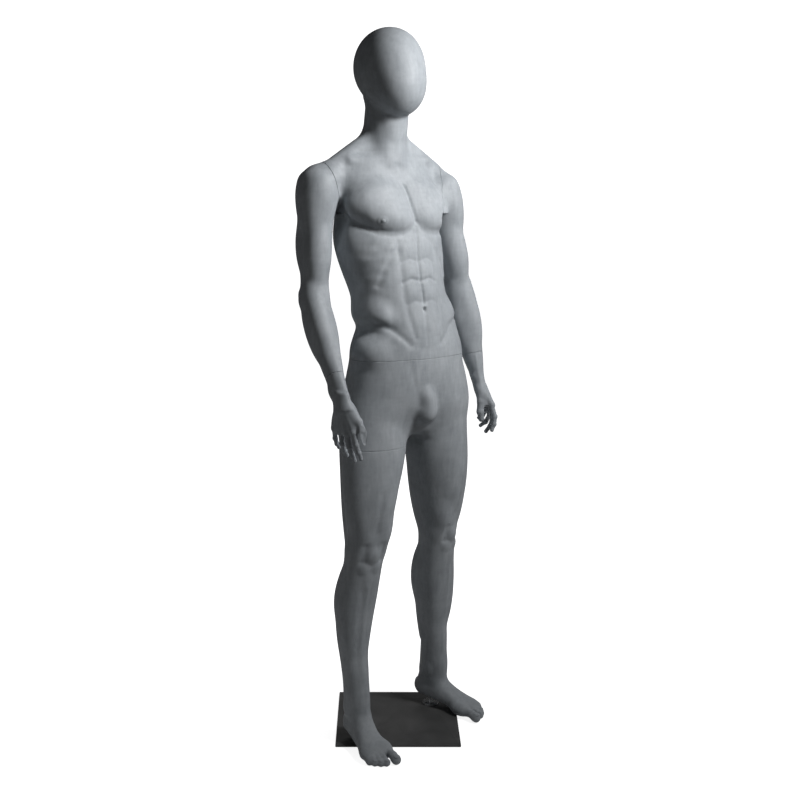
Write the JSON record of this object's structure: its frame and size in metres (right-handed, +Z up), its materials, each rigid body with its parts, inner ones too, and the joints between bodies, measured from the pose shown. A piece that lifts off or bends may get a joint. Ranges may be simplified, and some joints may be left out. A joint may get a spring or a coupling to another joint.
{
  "type": "full body mannequin",
  "caption": "Standing full-body display mannequin with a plain egg head, muscled male figure, detachable arms, hands, torso and leg, on a square steel base with a heel spigot.",
  "frame": {"origin": "middle of the square base's underside, on the floor", "axes": "+Z up; the figure's chest faces -Y and its right side is -X; the base is turned 30 degrees about Z"},
  "size_m": [0.5629, 0.4674, 1.89],
  "materials": {
    "moulding": "matte grey stone-effect paint on glass fibre, faintly mottled",
    "board": "plain plywood, unfinished",
    "fitting": "zinc-plated steel",
    "chrome": "bright chrome plate",
    "plate": "dark charcoal satin powder coat",
    "underlay": "thin black rubber sheet"
  },
  "bodies": {
    "base": {"base_plate": "plate", "spigot_rod": "chrome", "spigot_collar": "chrome", "spigot_bolt": "fitting", "base_underlay": "underlay"},
    "lower_body": {"pelvis_left_leg_shell": "moulding", "foot_socket_tube": "fitting", "socket_set_screw": "fitting", "pelvis_waist_board": "board", "waist_peg_fitting": "fitting", "waist_peg_screw_1": "fitting", "waist_peg_screw_2": "fitting", "waist_peg_screw_3": "fitting", "pelvis_thigh_board": "board", "thigh_socket_fitting": "fitting", "thigh_socket_screw_1": "fitting", "thigh_socket_screw_2": "fitting"},
    "right_leg": {"right_leg_shell": "moulding", "right_leg_board": "board", "thigh_peg_fitting": "fitting", "thigh_peg_screw_1": "fitting", "thigh_peg_screw_2": "fitting"},
    "torso": {"torso_head_shell": "moulding", "torso_waist_board": "board", "waist_socket_fitting": "fitting", "waist_socket_screw_1": "fitting", "waist_socket_screw_2": "fitting", "waist_socket_screw_3": "fitting", "right_shoulder_board": "board", "right_shoulder_socket_fitting": "fitting", "right_shoulder_socket_screw_1": "fitting", "right_shoulder_socket_screw_2": "fitting", "left_shoulder_board": "board", "left_shoulder_socket_fitting": "fitting", "left_shoulder_socket_screw_1": "fitting", "left_shoulder_socket_screw_2": "fitting"},
    "right_arm": {"right_arm_shell": "moulding", "right_arm_board": "board", "right_shoulder_peg_fitting": "fitting", "right_shoulder_peg_screw_1": "fitting", "right_shoulder_peg_screw_2": "fitting", "right_forearm_board": "board"},
    "right_hand": {"right_hand": "moulding", "right_hand_peg": "fitting"},
    "left_arm": {"left_arm_shell": "moulding", "left_arm_board": "board", "left_shoulder_peg_fitting": "fitting", "left_shoulder_peg_screw_1": "fitting", "left_shoulder_peg_screw_2": "fitting", "left_forearm_board": "board"},
    "left_hand": {"left_hand": "moulding", "left_hand_peg": "fitting"}
  },
  "joints": [
    {"name": "spigot_lift", "type": "slide", "parent": "base", "child": "lower_body", "axis": [0, 0, 1], "range_m": [0, 0.17]},
    {"name": "waist_turn", "type": "hinge", "parent": "lower_body", "child": "torso", "pos_m": [0.013, -0.013, 1.048], "axis": [0, 0, 1], "range_deg": [0, 12]},
    {"name": "thigh_turn", "type": "hinge", "parent": "lower_body", "child": "right_leg", "pos_m": [-0.10045, -0.03674, 0.818], "axis": [0, 0, 1], "range_deg": [-12, 10]},
    {"name": "right_shoulder_turn", "type": "hinge", "parent": "torso", "child": "right_arm", "pos_m": [-0.182, 0.056, 1.497], "axis": [-0.9464, 0, -0.3231], "range_deg": [0, 60]},
    {"name": "right_wrist_turn", "type": "hinge", "parent": "right_arm", "child": "right_hand", "pos_m": [-0.235, -0.07848, 1.02], "axis": [0, -0.5195, -0.8545], "range_deg": [-25, 0]},
    {"name": "left_shoulder_turn", "type": "hinge", "parent": "torso", "child": "left_arm", "pos_m": [0.134, 0.056, 1.483], "axis": [-0.9464, 0, 0.3231], "range_deg": [-10, 60]},
    {"name": "left_wrist_turn", "type": "hinge", "parent": "left_arm", "child": "left_hand", "pos_m": [0.23784, -0.00352, 1.03364], "axis": [0.0932, -0.2797, -0.9556], "range_deg": [-30, 30]}
  ]
}
